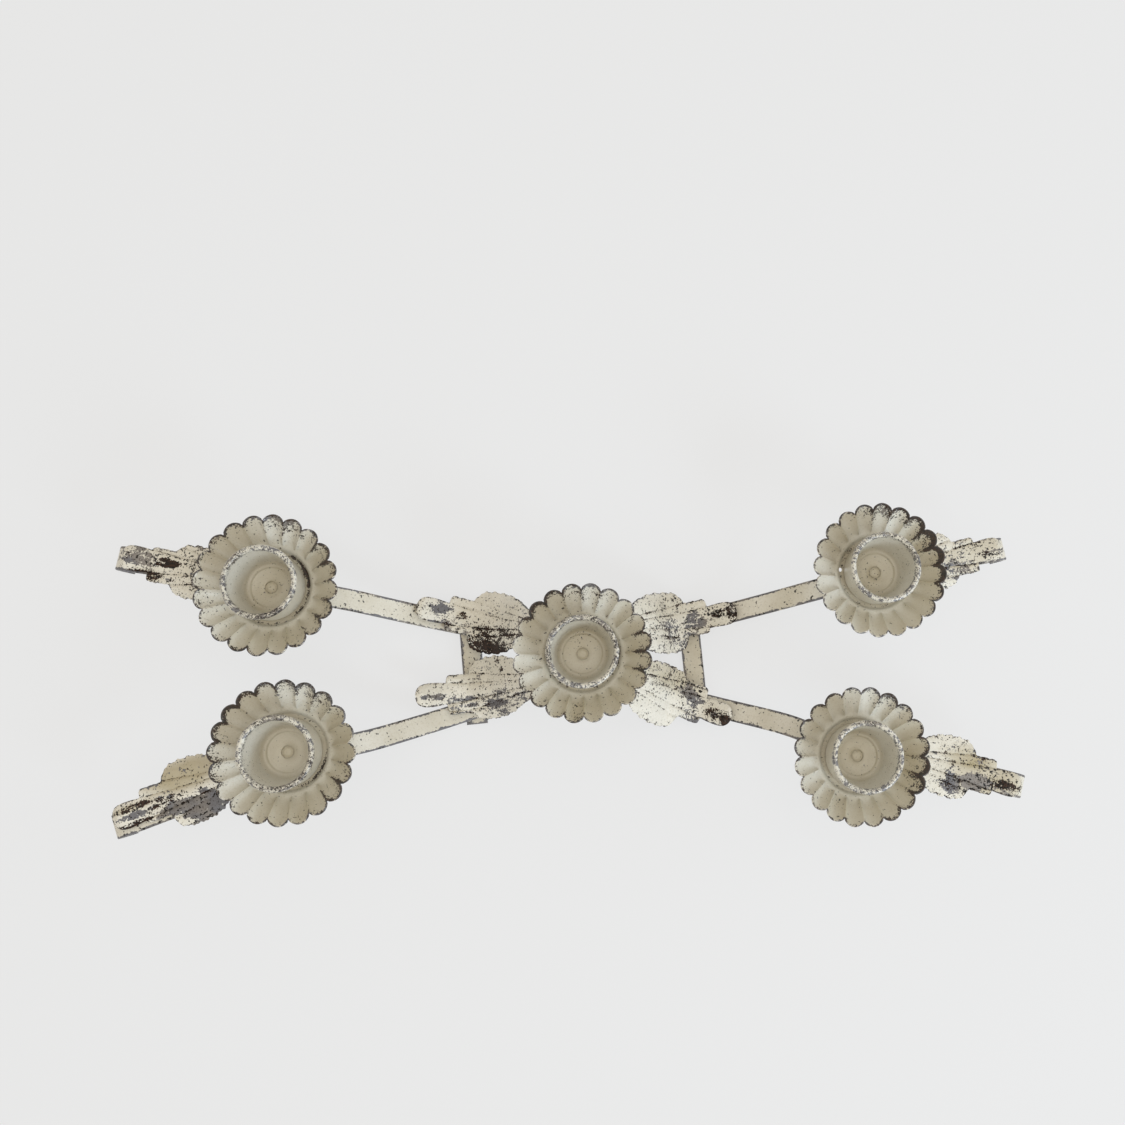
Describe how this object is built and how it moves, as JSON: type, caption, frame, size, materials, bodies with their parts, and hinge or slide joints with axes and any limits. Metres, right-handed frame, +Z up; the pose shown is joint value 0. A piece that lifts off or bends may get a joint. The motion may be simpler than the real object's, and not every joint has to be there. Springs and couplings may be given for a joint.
{
  "type": "tabletop candelabra",
  "caption": "Low tabletop candelabra: two bent flat bars on cross feet carry candle cups on fluted drip pans, with stamped leaves, in chipped off-white paint.",
  "frame": {"origin": "on the table, in the middle of the footprint of the whole object", "axes": "+X along the two long bars, to the right; +Y to the back; +Z up"},
  "size_m": [0.5357, 0.1857, 0.1019],
  "materials": {
    "bar_paint": "chipped matt paint",
    "pan_paint": "worn matt paint",
    "cup_paint": "worn matt paint",
    "leaf_paint": "chipped matt paint",
    "rusted_steel": "rusted"
  },
  "bodies": {
    "root": {"back_bar": "bar_paint", "back_left_candle_cup": "cup_paint", "back_left_centre_leaf": "leaf_paint", "back_left_centre_leaf_rivet": "rusted_steel", "back_left_drip_pan": "pan_paint", "back_left_end_leaf": "leaf_paint", "back_left_end_leaf_rivet": "rusted_steel", "back_left_foot_rivet": "rusted_steel", "back_left_nut": "rusted_steel", "back_left_pan_collar": "bar_paint", "back_left_screw": "rusted_steel", "back_left_washer": "rusted_steel", "back_right_candle_cup": "cup_paint", "back_right_centre_leaf": "leaf_paint", "back_right_centre_leaf_rivet": "rusted_steel", "back_right_drip_pan": "pan_paint", "back_right_end_leaf": "leaf_paint", "back_right_end_leaf_rivet": "rusted_steel", "back_right_foot_rivet": "rusted_steel", "back_right_nut": "rusted_steel", "back_right_pan_collar": "bar_paint", "back_right_screw": "rusted_steel", "back_right_washer": "rusted_steel", "bottom_bridge_plate": "bar_paint", "centre_candle_cup": "cup_paint", "centre_drip_pan": "pan_paint", "centre_nut": "rusted_steel", "centre_pan_collar": "bar_paint", "centre_screw": "rusted_steel", "centre_washer": "rusted_steel", "front_bar": "bar_paint", "front_left_candle_cup": "cup_paint", "front_left_centre_leaf": "leaf_paint", "front_left_centre_leaf_rivet": "rusted_steel", "front_left_drip_pan": "pan_paint", "front_left_end_leaf": "leaf_paint", "front_left_end_leaf_rivet": "rusted_steel", "front_left_foot_rivet": "rusted_steel", "front_left_nut": "rusted_steel", "front_left_pan_collar": "bar_paint", "front_left_screw": "rusted_steel", "front_left_washer": "rusted_steel", "front_right_candle_cup": "cup_paint", "front_right_centre_leaf": "leaf_paint", "front_right_centre_leaf_rivet": "rusted_steel", "front_right_drip_pan": "pan_paint", "front_right_end_leaf": "leaf_paint", "front_right_end_leaf_rivet": "rusted_steel", "front_right_foot_rivet": "rusted_steel", "front_right_nut": "rusted_steel", "front_right_pan_collar": "bar_paint", "front_right_screw": "rusted_steel", "front_right_washer": "rusted_steel", "left_foot_strip": "bar_paint", "right_foot_strip": "bar_paint", "top_bridge_plate": "bar_paint"}
  },
  "joints": []
}
